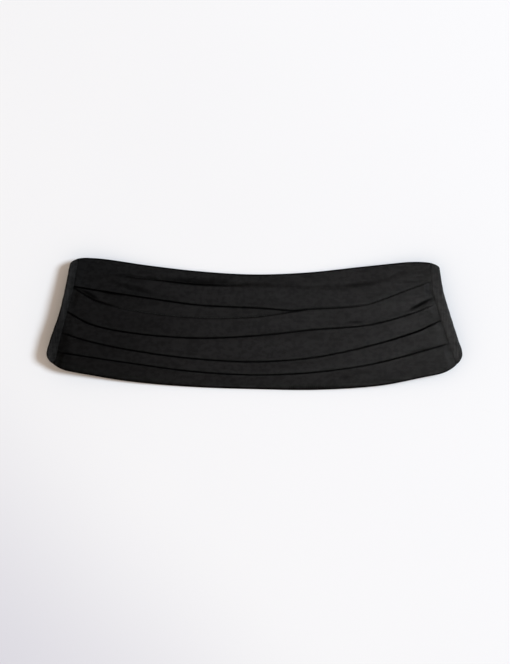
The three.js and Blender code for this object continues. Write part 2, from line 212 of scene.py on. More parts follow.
def band_width(side, height):
    """The end band's width at a height, before its corners are rounded."""
    share = np.clip(height / PANEL_HEIGHT, END_HEIGHTS[0], END_HEIGHTS[-1])
    left = through(BAND_WIDTHS[-1], END_HEIGHTS, share)
    right = through(BAND_WIDTHS[1], END_HEIGHTS, share)
    return END_BAND_WIDTH * np.where(np.asarray(side) < 0, left, right)


def corner_rise(edge, side, distance):
    """A quarter of an ellipse: rise times 1 - sqrt(1 - (1 - distance / run) squared)."""
    run, rise = (
        np.where(np.asarray(side) < 0, CORNERS[edge][-1][k], CORNERS[edge][1][k]) * PANEL_HEIGHT
        for k in (0, 1)
    )
    share = np.clip(1 - distance / run, 0, 1)
    return rise * (1 - np.sqrt(1 - share**2))


def corner_inset(edge, side, rise_at):
    """The same quarter of an ellipse, read the other way."""
    run, rise = (CORNERS[edge][side][k] * PANEL_HEIGHT for k in (0, 1))
    share = np.clip(1 - rise_at / rise, 0, 1)
    return run * (1 - np.sqrt(1 - share**2))


def edges_at(s):
    """The heights of the upper and the lower edge at places s along the sash."""
    s = np.asarray(s, float)
    side = np.where(s < 0, -1, 1)
    upper = through(UPPER_EDGE, PLACES, s) * PANEL_HEIGHT
    lower = through(LOWER_EDGE, PLACES, s) * PANEL_HEIGHT
    away = [band_width(side, h) + (1 - np.abs(s)) * seam_at(side, h) for h in (upper, lower)]
    return upper - corner_rise("upper", side, away[0]), lower + corner_rise("lower", side, away[1])


def lift(s):
    """Flat in the middle, then rising with the square of the way to the end."""
    share = np.clip((np.abs(s) - FLAT_SHARE) / (1 - FLAT_SHARE), 0, None)
    return np.where(np.asarray(s) < 0, LEFT_LIFT, RIGHT_LIFT) * share**2


def bow_share(down, width):
    """1 - (distance from mid height / half the height) squared, at least 0."""
    half = width / 2 - EDGE_RADIUS
    return 1 - np.minimum(1, np.abs(down - width / 2) / half) ** 2


MID_UPPER, MID_LOWER = edges_at(0.0)
CLASP_EDGE = MID_UPPER - STRAP_CENTRE - CLASP_WIDTH / 2
BOW = (CLASP_HEIGHT + 2 * GAP - SOLID_CLOTH - GAP) / bow_share(CLASP_EDGE, MID_UPPER - MID_LOWER)
BOW_LOSS = 0.5


def bow(s, down, width):
    """The sash's arch over the strap. Towards the ends it loses a share of its height, with the
    square of the way."""
    return BOW * (1 - BOW_LOSS * np.minimum(1, np.asarray(s) ** 2)) * bow_share(down, width)


WAVE_SPREAD = (0.6, 1.5)  # a wave's least and greatest length, as shares of the given one
WAVE_FALL = 0.3  # how much each next wave is lower


def waves(x, y, seed, count, long, short, turn=0.0):
    """A sum of sines that run mostly along x: each has a random phase, a length near long along x
    and near short along y, and its height falls with its number."""
    draw = np.random.default_rng(seed)
    total = np.zeros(np.broadcast(x, y).shape)
    for k in range(count):
        along = 2 * math.pi / (long * draw.uniform(*WAVE_SPREAD))
        across = 2 * math.pi / (short * draw.uniform(*WAVE_SPREAD)) * draw.choice([-1, 1])
        phase = draw.uniform(0, 2 * math.pi)
        total += np.sin(along * (x + turn * y) + across * y + phase) / (1 + WAVE_FALL * k)
    return total / math.sqrt(count)


def bump_at(x, y, centre, size, turn):
    """A round bell: e to the minus squared distance, stretched to size and turned by an angle."""
    c, n = math.cos(turn), math.sin(turn)
    dx, dy = x - centre[0], y - centre[1]
    a = (dx * c + dy * n) / size[0]
    b = (dy * c - dx * n) / size[1]
    return np.exp(-(a * a) - b * b)


# Soft wrinkles, a row each: the middle's x and y, the half length and the half width in
# millimetres, the turn in degrees, and how far it rises in millimetres.
WRINKLES = [
    (-132, 49.5, 24, 2.5, -5, -0.35),
    (-59, 44.3, 42, 4, -3, -0.6),
    (-109, 48.5, 5, 2.5, -20, -0.35),
    (-148.6, 41.7, 11, 2.8, -38, -0.3),
    (-114, 33.9, 26, 2.8, -8, -0.5),
    (-157, 40.2, 10, 2.5, -45, 0.12),
    (-127.8, 29.7, 26, 2.2, -9, 0.25),
    (109, 42, 18, 2.5, 6, -0.35),
    (147.6, 53, 14, 2.5, 27, -0.3),
    (152, 49, 14, 3, 25, 0.2),
    (40, -17.7, 46, 2.5, 0, -0.3),
    (104.6, 2, 12, 1.8, 5, -0.3),
    (94, -55, 5, 5, 0, -0.35),
    (181, 33.9, 3, 4, 70, -0.15),
    (173.7, 20.9, 14, 2.2, 27, -0.8),
    (-150, -5, 8, 14, 10, -0.2),
    (-186, 12, 9, 4, -60, -0.2),
]

# Painted shade in creases and over broader shaded places, a row each: the middle's x and y, the
# half length and the half width in millimetres, the turn in degrees, and the darkness.
SHADE_PATCHES = [
    (173.5, 20.8, 20, 2.4, 27.5, 0.95),
    (182, 33.8, 4, 5.5, 70, 0.45),
    (172, -27.5, 20, 2.2, 16, 0.5),
    (-107, 48, 9, 3.4, -15, 0.5),
    (-151, 32.4, 23, 2.6, -11.4, 0.85),
    (-171.5, 31, 16, 2.7, -28.7, 0.85),
    (-68, 44.4, 40, 5.4, -5, 0.6),
    (-40, 43.6, 22, 5.4, -2, 0.52),
    (-132, 50, 30, 3.8, -5, 0.45),
    (-126, 37.6, 34, 4.6, -14, 0.6),
    (-152, 30.5, 17, 4, -18, 0.4),
    (-150, -5, 12, 18, 10, 0.2),
    (-168, 26, 14, 7, -30, 0.3),
    (-172, 54, 44, 26, 0, 0.35),
    (94, -56, 7, 5, 0, 0.4),
    (104.6, 2, 15, 2, 5, 0.5),
    (112, 42, 26, 3.8, 6, 0.42),
    (40, 44, 40, 5, 0, 0.1),
    (44, 13.6, 17, 2.4, 8, 0.7),
    (30, -12, 60, 9, 0, 0.15),
    (-207, 0, 18, 76, 13, 0.6),
    (-190, 5, 150, 130, 0, 0.3),
]

# Low waves over the whole cloth, a row each: height, seed, count, length along and across.
LOW_WAVES = [
    (0.16 * MM, 3, 9, 120 * MM, 30 * MM),
    (0.07 * MM, 11, 9, 40 * MM, 14 * MM),
]
RELIEF_EDGE = 8 * MM  # the relief dies away this near a long edge
RELIEF_END = 12 * MM  # and this near a seam


def relief(x, y, s, down, width):
    """The cloth's soft unevenness: long low waves and single wrinkles, all dying away at the long
    edges and the seams. Every layer moves together, so none can cross another."""
    inner = smooth(down / RELIEF_EDGE) * smooth((width - down) / RELIEF_EDGE)
    inner = inner * smooth((1 - np.abs(s)) * PLEATED_LENGTH / 2 / RELIEF_END)
    total = sum(
        high * waves(x, y, seed, count, long, short) for high, seed, count, long, short in LOW_WAVES
    )
    for cx, cy, half_long, half_short, turn, depth in WRINKLES:
        centre = (cx * MM, cy * MM)
        size = (half_long * MM, half_short * MM)
        total += depth * MM * bump_at(x, y, centre, size, math.radians(turn))
    return total * inner


def band_thickness(side, height):
    """The end band's thickness: its corners', and more in step with the bow towards mid height."""
    upper, lower = edges_at(float(side))
    fullness = bow_share(upper - height, upper - lower + 2 * EDGE_RADIUS)
    return CORNER_THICKNESS + (MIDDLE_THICKNESS - CORNER_THICKNESS) * fullness


def pressed(s, height, up):
    """Near a seam a point at up moves to UNDER_BAND + up / (1 + (up / A) cubed) to the 1/3, where A
    is the room inside the end band: every layer keeps its order, below the band's top layer."""
    room = np.where(s < 0, band_thickness(-1, height), band_thickness(1, height))
    room = room - CLOTH - LAYER_GAP - UNDER_BAND
    low = UNDER_BAND + up / np.cbrt(1 + (up / room) ** 3)
    from_seam = seam_at(s, height) * (1 - np.abs(s))
    weight = smooth((PRESS_START - from_seam) / (PRESS_START - PRESS_FULL))
    return up + (low - up) * weight


def on_sash(s, down, up):
    """A point of the sash: x is s times the seam's distance at that height, y is the upper edge
    minus down, z is the pressed up plus lift, bow and relief."""
    upper, lower = edges_at(s)
    height = upper - down
    x = s * seam_at(s, height) + ORIGIN_X
    y = height + ORIGIN_Y
    width = upper - lower
    z = pressed(s, height, up) + lift(s) + bow(s, down, width) + relief(x, y, s, down, width)
    return np.stack(np.broadcast_arrays(x, y, z), axis=-1)


# Meshes


def closed_ribbon(name, face, back, material, u, v, shade_marks=None):
    """A closed mesh from two grids of points of the same shape, rows along and columns across: the
    face, the back, a strip along each side and a strip of quads at each end. u and v give the cloth
    map of both grids, in metres, and shade_marks three more numbers at each point: a painted shade
    and two distances in from the edges."""
    rows, columns = face.shape[:2]
    ring = np.concatenate([face, back[:, ::-1]], axis=1)
    count = 2 * columns
    index = np.arange(rows * count).reshape(rows, count)
    turned = np.roll(index, -1, axis=1)
    walls = np.stack([index[:-1], turned[:-1], turned[1:], index[1:]], axis=-1).reshape(-1, 4)
    front = np.arange(columns - 1)
    behind = count - 1 - front
    start = np.stack([front, behind, behind - 1, front + 1], axis=-1)
    end = np.stack([front + 1, behind - 1, behind, front], axis=-1) + (rows - 1) * count
    faces = np.concatenate([walls, start, end])
    maps = [np.concatenate([m, m[:, ::-1]], axis=1).ravel() for m in (u, v)]
    piece = make_mesh(name, ring.reshape(-1, 3), faces, material, np.stack(maps, axis=-1))
    if shade_marks is not None:
        both = np.concatenate([shade_marks, shade_marks[:, ::-1]], axis=1)
        layer = piece.data.attributes.new("shade_marks", "FLOAT_VECTOR", "POINT")
        layer.data.foreach_set("vector", np.ascontiguousarray(both, np.float32).ravel())
    return piece


def make_mesh(name, points, faces, material, cloth_map):
    """Puts points and four-sided faces into a mesh, turned inside out if its volume is negative."""
    corners = points[faces]
    a, b, c, d = (corners[:, k] for k in range(4))
    volume = np.einsum("ij,ij->", a, np.cross(b, c)) + np.einsum("ij,ij->", a, np.cross(c, d))
    if volume < 0:
        faces = faces[:, ::-1]
    mesh = bpy.data.meshes.new(name)
    mesh.vertices.add(len(points))
    mesh.vertices.foreach_set("co", np.ascontiguousarray(points, np.float32).ravel())
    mesh.loops.add(faces.size)
    mesh.loops.foreach_set("vertex_index", np.ascontiguousarray(faces, np.int32).ravel())
    mesh.polygons.add(len(faces))
    mesh.polygons.foreach_set("loop_start", np.arange(0, faces.size, 4, dtype=np.int32))
    layer = mesh.uv_layers.new(name="cloth")
    layer.data.foreach_set("uv", np.ascontiguousarray(cloth_map[faces.ravel()], np.float32).ravel())
    mesh.update(calc_edges=True)
    mesh.shade_smooth()
    mesh.materials.append(material)
    piece = bpy.data.objects.new(name, mesh)
    bpy.context.scene.collection.objects.link(piece)
    return piece


def thicken(path, thickness):
    """Both sides of a cloth whose middle line is given as points in a plane, row by row: each point
    moves half the thickness along its normal, the left of the way ahead."""
    ahead = np.gradient(path, axis=1)
    length = np.linalg.norm(ahead, axis=-1, keepdims=True)
    ahead = ahead / np.maximum(length, 1e-9)
    normal = np.stack([-ahead[..., 1], ahead[..., 0]], axis=-1)
    return path + normal * thickness / 2, path - normal * thickness / 2


def run_length(points):
    """The distance from the first column, row by row."""
    step = np.linalg.norm(np.diff(points, axis=1), axis=-1)
    return np.concatenate([np.zeros((len(points), 1)), np.cumsum(step, axis=1)], axis=1)


# The pleated front

STATIONS = 262
NEAR_LIP = np.array([0, 0.6, 2]) * MM
NEAR_CREVICE = np.array([6, 4, 2.7, 1.9, 1.3, 0.7, 0]) * MM
NEAR_EDGE = 2 * MM
FACE_MIDDLE = 3
RETURN_POINTS = 3
FOLD_POINTS = 5
TUCK_POINTS = 3
EDGE_POINTS = 7
HEM_POINTS = 3
SHORT_FACE = 8 * MM  # a face shorter than this has even steps
TIGHT_FACE = 4 * MM  # a face shorter than this neither puffs up nor sinks
FACE_FADE = 5 * MM
PUFF_UNDER_LIP = 1.5 * MM  # how far under a lip the puff dies away
DIP_UNDER_LIP = 4 * MM
LEAST_GAP = 0.01 * MM
CREVICE_CORE = 0.3  # the share of a crevice's width that gets full painted shade
LIP_SHADE = 0.7
FACE_BASE = SOLID_CLOTH + GAP + CLOTH / 2  # the middle of the lowest face above the underside
SETTLE = PLEAT_SETTLE * PANEL_HEIGHT
EDGE_TURN = (SASH_THICKNESS - CLOTH) / 2


def between(a, b, count, ends=True):
    """Even steps from column a to column b, with or without the two ends."""
    share = np.linspace(0, 1, count) if ends else np.linspace(0, 1, count + 2)[1:-1]
    return a + (b - a) * share


def half_circle(count):
    """Even angles between -90 and 90 degrees, without the two ends."""
    return np.radians(np.linspace(-90, 90, count + 2)[1:-1])


def face_columns(start, fold, stop, firm):
    """The places across one pleat's face: close together at its own lip and at the next crevice. A
    face that is short or opened out moves them to even steps."""
    inner = between(start + NEAR_LIP[-1], fold - NEAR_CREVICE[0], FACE_MIDDLE, ends=False)
    close = np.concatenate([start + NEAR_LIP, inner, fold - NEAR_CREVICE, stop], axis=1)
    even = between(start, stop, close.shape[1])
    weight = smooth((fold - start - SHORT_FACE) / FACE_FADE) * firm
    return even + (close - even) * weight


class PleatedSection:
    """The front cloth's middle line across the sash, at places s along it.

    Each list has a column for each pleat, with a row for each place: how far down its fold and
    the end of its tuck lie, how far it has opened out, the height of its step, the width of its
    crevice and the rise of its lip. Where a pleat is set below 1 its folded points move towards
    a straight ramp, and below 0.5 the ramp itself sinks. Where two folds cross, the upper one
    is the lip.
    """

    def __init__(self, s):
        at = s[:, None]
        upper, lower = edges_at(at)
        self.upper = upper
        self.width = upper - lower
        self.near = np.full(self.width.shape, EDGE_RADIUS)
        self.far = self.width - EDGE_RADIUS
        edges = [through(p["edge"], PLACES, at) * PANEL_HEIGHT for p in PLEATS]
        self.folds = [upper - edge + FOLD_REACH for edge in edges]
        self.tucks = [fold + p["tuck"] * PANEL_HEIGHT for fold, p in zip(self.folds, PLEATS)]
        sets = [np.clip(through(p["set"], PLACES, at), 0, 1) for p in PLEATS]
        self.opened = [np.clip(2 * (1 - value), 0, 1) for value in sets]
        self.steps = [2 * PLEAT_PITCH * smooth(2 * value) for value in sets]
        self.gaps = [np.clip(through(p["gap"], PLACES, at), 0, None) * MM for p in PLEATS]
        self.rises = [LIP_RISE * gap * (1 - o) for gap, o in zip(self.gaps, self.opened)]
        self.lips = list(self.folds)
        self.lip_gaps = list(self.gaps)
        for i in range(len(PLEATS) - 1):
            crossed = self.folds[i + 1] < self.folds[i]
            self.lips[i] = np.where(crossed, self.folds[i + 1], self.folds[i])
            self.lip_gaps[i] = np.where(crossed, self.gaps[i + 1], self.gaps[i])

    def level(self, i, down):
        """The way up to face i: the base, and for each pleat above it a step that settles smoothly
        on both sides of its tuck, and its lip's rise in a bell."""
        total = np.full(down.shape, FACE_BASE)
        for fold, tuck, step, rise in list(zip(self.folds, self.tucks, self.steps, self.rises))[:i]:
            outside = np.maximum(np.maximum(fold - down, down - tuck), 0)
            total += step * (1 - smooth(outside / SETTLE))
            total += rise * np.exp(-(((down - fold) / LIP_WIDTH) ** 2))
        return total

    def above_lip(self, i, down):
        """How far above the edge of lip i a place lies."""
        return self.lips[i] - PLEAT_PITCH / 2 - CLOTH / 2 - down

    def sinking(self, i, down):
        """How a face puffs up towards the next lip by the square of its nearness, and then sinks
        below it by a smooth step. Both die away under the lip."""
        before = self.folds[i - 1] if i else self.near
        room = smooth((self.folds[i] - before - TIGHT_FACE) / FACE_FADE) * (1 - self.opened[i])
        above = self.above_lip(i, down)
        puff = PUFF * np.clip(1 - np.abs(above) / PUFF_REACH, 0, 1) ** 2
        puff = puff * (1 - smooth(-above / PUFF_UNDER_LIP))
        dip = DIP_DEPTH * self.lip_gaps[i] * (1 - smooth(above / DIP_REACH))
        dip = dip * (1 - smooth(-above / DIP_UNDER_LIP))
        return (puff - dip) * room

    def crevice(self, i, down):
        """Painted shade above lip i: 1 at its edge, falling smoothly to 0 over the gap's width."""
        gap = np.maximum(self.lip_gaps[i], LEAST_GAP)
        share = self.above_lip(i, down) / gap
        return smooth(gap / FULL_GAP) * (1 - smooth((share - CREVICE_CORE) / (1 - CREVICE_CORE)))

    def fold_shade(self, i):
        """The painted shade of fold i itself: its gap's, less where it has opened out."""
        return smooth(self.gaps[i] / FULL_GAP) * (1 - self.opened[i])

    def face(self, i):
        """Face i, from the fold above it or the upper edge to the end of its own tuck, or to the
        lower edge: down, up and painted shade."""
        start = self.folds[i - 1] + OPENING * self.opened[i - 1] if i else self.near
        if i == len(PLEATS):
            down = face_columns(start, self.far - NEAR_EDGE, self.far, np.ones(self.far.shape))
            return down, self.level(i, down), 0.0
        fold, tuck, opened = self.folds[i], self.tucks[i], self.opened[i]
        stop = tuck + (fold - OPENING - tuck) * opened
        down = face_columns(start, fold, stop, 1 - opened)
        dark = self.crevice(i, down)
        if i:
            # painted shade on the lip at this face's top
            dark[:, :1] = np.maximum(dark[:, :1], LIP_SHADE * self.fold_shade(i - 1))
        return down, self.level(i, down) + self.sinking(i, down), dark

    def turn_back(self, i):
        """From the end of tuck i to the next face: a half circle, the way back up, and a half
        circle at the fold, which its lip lifts. Opened out, the points lie on a smooth ramp."""
        fold, tuck, step, rise = self.folds[i], self.tucks[i], self.steps[i], self.rises[i]
        pitch = step / 2
        at_tuck = half_circle(TUCK_POINTS)
        at_fold = half_circle(FOLD_POINTS)
        back = between(tuck, fold, RETURN_POINTS)
        below = self.level(i, fold) + pitch + 0.5 * rise
        above = self.level(i, fold) + step + rise
        behind = 0.5 * rise * np.exp(-(((back - fold) / LIP_WIDTH) ** 2))
        down = np.concatenate(
            [
                tuck + pitch / 2 * np.cos(at_tuck),
                back,
                fold - (above - below) / 2 * np.cos(at_fold),
            ],
            axis=1,
        )
        up = np.concatenate(
            [
                self.level(i, tuck) + pitch / 2 * (1 + np.sin(at_tuck)),
                self.level(i, back) + pitch + behind,
                below + (above - below) / 2 * (1 + np.sin(at_fold)),
            ],
            axis=1,
        )
        share = np.linspace(0, 1, down.shape[1] + 2)[1:-1]
        ramp_down = fold + OPENING * (2 * share - 1)
        ramp_up = self.level(i, ramp_down) + step * smooth(share)
        down = down + (ramp_down - down) * self.opened[i]
        up = up + (ramp_up - up) * self.opened[i]
        return down, up, self.fold_shade(i)

    def path(self):
        """The whole line in rows, as down, up and painted shade: hem, edge turn, each face and each
        turn back, edge turn and hem."""
        turn = half_circle(EDGE_POINTS)
        across, up = EDGE_TURN * np.cos(turn), EDGE_TURN * np.sin(turn)
        parts = [
            (between(self.near + HEM, self.near, HEM_POINTS), CLOTH / 2, 0.0),
            (self.near - across, EDGE_RADIUS + up, 0.0),
        ]
        for i in range(len(PLEATS)):
            parts += [self.face(i), self.turn_back(i)]
        parts += [
            self.face(len(PLEATS)),
            (self.far + across, EDGE_RADIUS - up, 0.0),
            (between(self.far, self.far - HEM, HEM_POINTS), CLOTH / 2, 0.0),
        ]
        columns = [np.stack(np.broadcast_arrays(*part), axis=-1) for part in parts]
        return np.concatenate(columns, axis=1)


# Painted shade beside the seams: the left one along the whole end, the right one low down.
SEAM_LINE = 1.6 * MM
LEFT_DARK = 0.35
RIGHT_DARK = 0.3
RIGHT_TOP = 75 * MM
RIGHT_FADE = 12 * MM
LONG_EDGE = 4 * MM  # the allowance tapers off this near a long edge


def seam_shade(side, height, left):
    """The painted shade beside a seam: a fixed one on the left, and a smooth step on the right."""
    right = RIGHT_DARK * smooth((RIGHT_TOP - height) / RIGHT_FADE)
    return np.where(np.asarray(side) < 0, left, right)


def pleated_front(material):
    """The section's middle line thickened to cloth and laid along the sash from seam to seam, and a
    little further into the end bands. The shade marks are painted shade, and the distance in from
    the lower and from the upper edge."""
    s = np.linspace(-1, 1, STATIONS)
    section = PleatedSection(s)
    line = section.path()
    path, dark = line[..., :2], line[..., 2]
    down = path[..., 0]
    width = section.width
    inside = smooth(np.minimum(down, width - down) / LONG_EDGE)
    beyond = np.zeros(len(s))
    beyond[[0, -1]] = SEAM_ALLOWANCE / (PLEATED_LENGTH / 2)
    along = s[:, None] * (1 + beyond[:, None] * inside)
    sides = thicken(path, CLOTH)
    face, back = (on_sash(along, side[..., 0], side[..., 1]) for side in sides)
    v = run_length(path)
    u = np.broadcast_to(face[:, :1, 0], v.shape)
    height = section.upper - down
    from_seam = seam_at(along, height) * (1 - np.abs(along))
    shade = seam_shade(along, height, LEFT_DARK) * (1 - smooth(from_seam / SEAM_LINE))
    dark = np.maximum(dark, shade)
    shade_marks = np.stack([dark, width - down, down], axis=-1)
    return closed_ribbon("front_cloth", face, back, material, u, v, shade_marks), v


# The end bands


def band_reach(side, height):
    """The band's width at a height, less what its round corners take off."""
    upper = through(UPPER_EDGE, PLACES, side) * PANEL_HEIGHT
    lower = through(LOWER_EDGE, PLACES, side) * PANEL_HEIGHT
    inset = np.maximum(
        corner_inset("upper", side, upper - height), corner_inset("lower", side, height - lower)
    )
    return band_width(side, height) - inset


def on_end(side, height, out, up):
    """A point of an end: out from the seam at that height, and up above the sash's underside."""
    seam = seam_at(side, height)
    upper, lower = edges_at(float(side))
    s = side * (1 + out / seam)
    z = up + lift(s) + bow(side, upper - height, upper - lower)
    x = side * (seam + out) + ORIGIN_X
    return np.stack(np.broadcast_arrays(x, height + ORIGIN_Y, z), axis=-1)


BAND_ROWS = 150
UNDER_POINTS = 7
NOSE_POINTS = 17
TOP_POINTS = 9
PINCH = 3 * MM  # this near its ends the layers are pressed together
CLOSED = 2 * CLOTH + 0.15 * MM
AT_SEAM = 0.2 * MM  # where both layers start at the ends, out from the seam
UNDERLAP = SEAM_ALLOWANCE + 1.2 * MM  # how much further in the bottom layer reaches elsewhere
OVERLAP = 0.6 * MM  # and the top layer
LAP_START = 2 * MM
LAP_FADE = 4 * MM
TURNED_EDGE = 1.2 * MM
TURN_SHARES = np.array([1 / 2, 1 / 6, 0])
TURN_DROPS = np.array([0.02, 0.1, 0.25]) * MM
DROP_FADE = 15 * MM
RIPPLE = 0.11 * MM
GATHER = 0.15 * MM
BAND_LINE = 1.2 * MM
LEFT_BAND_DARK = 0.4
SHADED_SIDE = 0.65  # painted shade on the left band at its seam
SHADED_LOSS = 0.5  # and how much less it is at the outer edge
NO_RIM = 50 * MM  # further from an edge than the painted shade on a rim reaches


def end_band(side, name, material):
    """A strip folded round into a flattened roll: a bottom layer that starts under the pleats, half
    an ellipse at the outer edge, and a top layer whose own edge turns down at the seam. Its layers
    are pinched together at both ends, which slant with the outline at the seam, and low ripples
    run along it."""
    slimmest = SOLID_CLOTH + GAP
    upper, lower = edges_at(side * (1 + 2 * slimmest / PLEATED_LENGTH))
    share = (1 - np.cos(np.linspace(0, math.pi, BAND_ROWS))) / 2
    height = (upper + (lower - upper) * share)[:, None]
    from_end = np.minimum(upper - height, height - lower)
    pinch = smooth(from_end / PINCH)
    thickness = CLOSED + (band_thickness(side, height) - CLOSED) * pinch
    reach = np.maximum(slimmest, band_reach(side, height))
    half = CLOTH / 2
    nose = np.minimum(thickness / 2, reach / 2)
    angle = np.radians(np.linspace(-90, 90, NOSE_POINTS))
    lap = smooth((from_end - LAP_START) / LAP_FADE)
    under = AT_SEAM - UNDERLAP * lap
    over = AT_SEAM - OVERLAP * lap
    bottom = under + (reach - nose - under) * np.linspace(0, 1, UNDER_POINTS)[:-1]
    turned = np.minimum(TURNED_EDGE, (reach - nose - over) / 2)
    top = over + turned + (reach - nose - over - turned) * np.linspace(1, 0, TOP_POINTS)[1:]
    curl = over + turned * TURN_SHARES
    middle = thickness / 2
    drop = SEAM_DROP * pinch * smooth(from_end / DROP_FADE)
    out = np.concatenate([bottom, reach - nose + (nose - half) * np.cos(angle), top, curl], axis=1)
    up = np.concatenate(
        [
            half + 0 * bottom,
            middle + (middle - half) * np.sin(angle),
            thickness - half - drop * (1 - np.clip(top / reach, 0, 1)) ** 2,
            thickness - half - drop - TURN_DROPS * pinch,
        ],
        axis=1,
    )
    ripple = waves(height, out, 21 + side, 9, 45 * MM, 3.2 * MM, turn=0.3)
    up = up + RIPPLE * ripple * pinch * smooth(up / thickness * 2 - 1)
    path = np.stack([out, up], axis=-1)
    sides = thicken(path, CLOTH)
    gather = GATHER * waves(height, height * 0, 31 + side, 7, 12 * MM, 1) * pinch
    near_seam = side * (1 + 2 * np.clip(out, 0, slimmest) / PLEATED_LENGTH)
    seam_upper, seam_lower = edges_at(near_seam)
    slant = (seam_upper - upper) * (1 - smooth((upper - height) / PINCH))
    slant += (seam_lower - lower) * (1 - smooth((height - lower) / PINCH))
    face, back = (
        on_end(side, height + slant, p[..., 0] + gather * smooth(p[..., 0] / reach), p[..., 1])
        for p in sides
    )
    v = run_length(path)
    u = np.broadcast_to(height, v.shape)
    # Painted shade beside the seam, and over the left band, fading towards its outer edge.
    shade = seam_shade(side, height, LEFT_BAND_DARK) * (1 - smooth((out - over) / BAND_LINE))
    if side < 0:
        shade = np.maximum(shade, SHADED_SIDE - SHADED_LOSS * smooth(out / reach))
    shade_marks = np.stack(np.broadcast_arrays(shade, NO_RIM, NO_RIM), axis=-1)
    lengths = np.linalg.norm(np.diff(face, axis=0), axis=-1).sum(axis=0)
    wide = np.average(v[:, -1], weights=np.abs(np.gradient(height[:, 0])))
    flat = (float(wide), float(lengths.mean()))
    return closed_ribbon(name, face, back, material, u, v, shade_marks), flat


# The strap


def underside(side, x):
    """The lowest point of the sash's underside over the strap's width, at a distance x from mid
    length."""
    rows = []
    for across in (-0.5, 0, 0.5):
        height = STRAP_CENTRE + across * STRAP_WIDTH
        seam = seam_at(side, height)
        s = side * np.minimum(x / seam, 1)
        upper, lower = edges_at(s)
        rows.append(lift(side * x / seam) + bow(s, upper - height, upper - lower))
    return np.min(rows, axis=0)


TAIL_POINTS = 17
TURN_POINTS = 17
FALL_POINTS = 33
FLAT_POINTS = 42
RISE_POINTS = 17
ACROSS_POINTS = 25
SELVEDGE_POWER = 14  # the higher, the squarer the webbing's edges
SELVEDGE_LEAST = 0.12


def strap_path(side):
    """The strap's middle line as distance and height: the sewn tail under the sash, a half turn,
    the way down to the surface, and the rise into the clasp, all joined by smooth steps."""
    half = STRAP_THICKNESS / 2
    seam = seam_at(side, STRAP_CENTRE)
    turn_x = seam + band_reach(side, STRAP_CENTRE) - STRAP_SETBACK - STRAP_TURN - half
    share = np.linspace(0, 1, TAIL_POINTS)
    tail_x = turn_x - STRAP_TAIL * (1 - share)
    tail = np.stack([tail_x, underside(side, tail_x) - GAP - half], axis=-1)
    centre = tail[-1, 1] - STRAP_TURN
    angle = math.pi / 2 - math.pi * np.linspace(0, 1, TURN_POINTS)[1:]
    turn = np.stack(
        [turn_x + STRAP_TURN * np.cos(angle), centre + STRAP_TURN * np.sin(angle)], axis=-1
    )
    start = centre - STRAP_TURN
    share = np.linspace(0, 1, FALL_POINTS)[1:]
    fall_z = start + (half - start) * smooth(share)
    fall = np.stack([turn_x - STRAP_DESCENT * share, fall_z], axis=-1)
    in_clasp = CLASP_WALL + GAP + half
    share = np.linspace(0, 1, RISE_POINTS)
    rise_x = CLASP_LENGTH / 2 + CLASP_RISE * (1 - share)
    rise = np.stack([rise_x, half + (in_clasp - half) * smooth(share)], axis=-1)
    flat_x = np.linspace(fall[-1, 0], rise[0, 0], FLAT_POINTS)[1:-1]
    flat = np.stack([flat_x, np.full(flat_x.shape, half)], axis=-1)
    last = np.array([[CLASP_MEETING_GAP / 2, in_clasp]])
    return np.concatenate([tail, turn, fall, flat, rise, last])


def strap_half(side, name, material):
    """A flat band: the path's points thickened, and thinner at both edges, by the root of 1 minus a
    power of the way across."""
    path = strap_path(side)
    ahead = np.gradient(path, axis=0)
    ahead /= np.linalg.norm(ahead, axis=1, keepdims=True)
    normal = np.stack([-ahead[:, 1], ahead[:, 0]], axis=-1)
    across = np.linspace(-1, 1, ACROSS_POINTS)
    fullness = np.clip(1 - across**SELVEDGE_POWER, SELVEDGE_LEAST, 1)
    half = STRAP_THICKNESS / 2 * np.sqrt(fullness)
    sides = []
    for way in (1, -1):
        points = path[:, None, :] + way * normal[:, None, :] * half[None, :, None]
        y = np.broadcast_to(STRAP_CENTRE + across * STRAP_WIDTH / 2 + ORIGIN_Y, points.shape[:2])
        x = side * points[..., 0] + ORIGIN_X
        sides.append(np.stack([x, y, points[..., 1]], axis=-1))
    step = np.linalg.norm(np.diff(path, axis=0), axis=1)
    run = np.concatenate([[0], np.cumsum(step)])
    u = np.broadcast_to(run[:, None], sides[0].shape[:2])
    v = np.broadcast_to(across * STRAP_WIDTH / 2, u.shape)
    return closed_ribbon(name, sides[0], sides[1], material, u, v), float(run[-1])


# Materials


class Value:
    """A number socket whose sums add Math nodes."""

    def __init__(self, looks, socket):
        self.looks = looks
        self.socket = socket

    def maths(self, operation, *values):
        """A Math node over the values."""
        node = self.looks.node("ShaderNodeMath", {"operation": operation})
        for k, value in enumerate(values):
            self.looks.put(node.inputs[k], value)
        return Value(self.looks, node.outputs[0])

    def __add__(self, other):
        return self.maths("ADD", self, other)

    def __sub__(self, other):
        return self.maths("SUBTRACT", self, other)

    def __rsub__(self, other):
        return self.maths("SUBTRACT", other, self)

    def __mul__(self, other):
        return self.maths("MULTIPLY", self, other)

    __radd__ = __add__
    __rmul__ = __mul__

    def sine(self):
        return self.maths("SINE", self)

    def size(self):
        return self.maths("ABSOLUTE", self)

    def at_least(self, other):
        return self.maths("MAXIMUM", self, other)

    def ramp(self, low, high):
        """0 up to low, 1 from high, and a smooth step between."""
        node = self.looks.node(
            "ShaderNodeMapRange", {"interpolation_type": "SMOOTHSTEP"}, From_Min=low, From_Max=high
        )
        self.looks.put(node.inputs["Value"], self)
        return Value(self.looks, node.outputs["Result"])


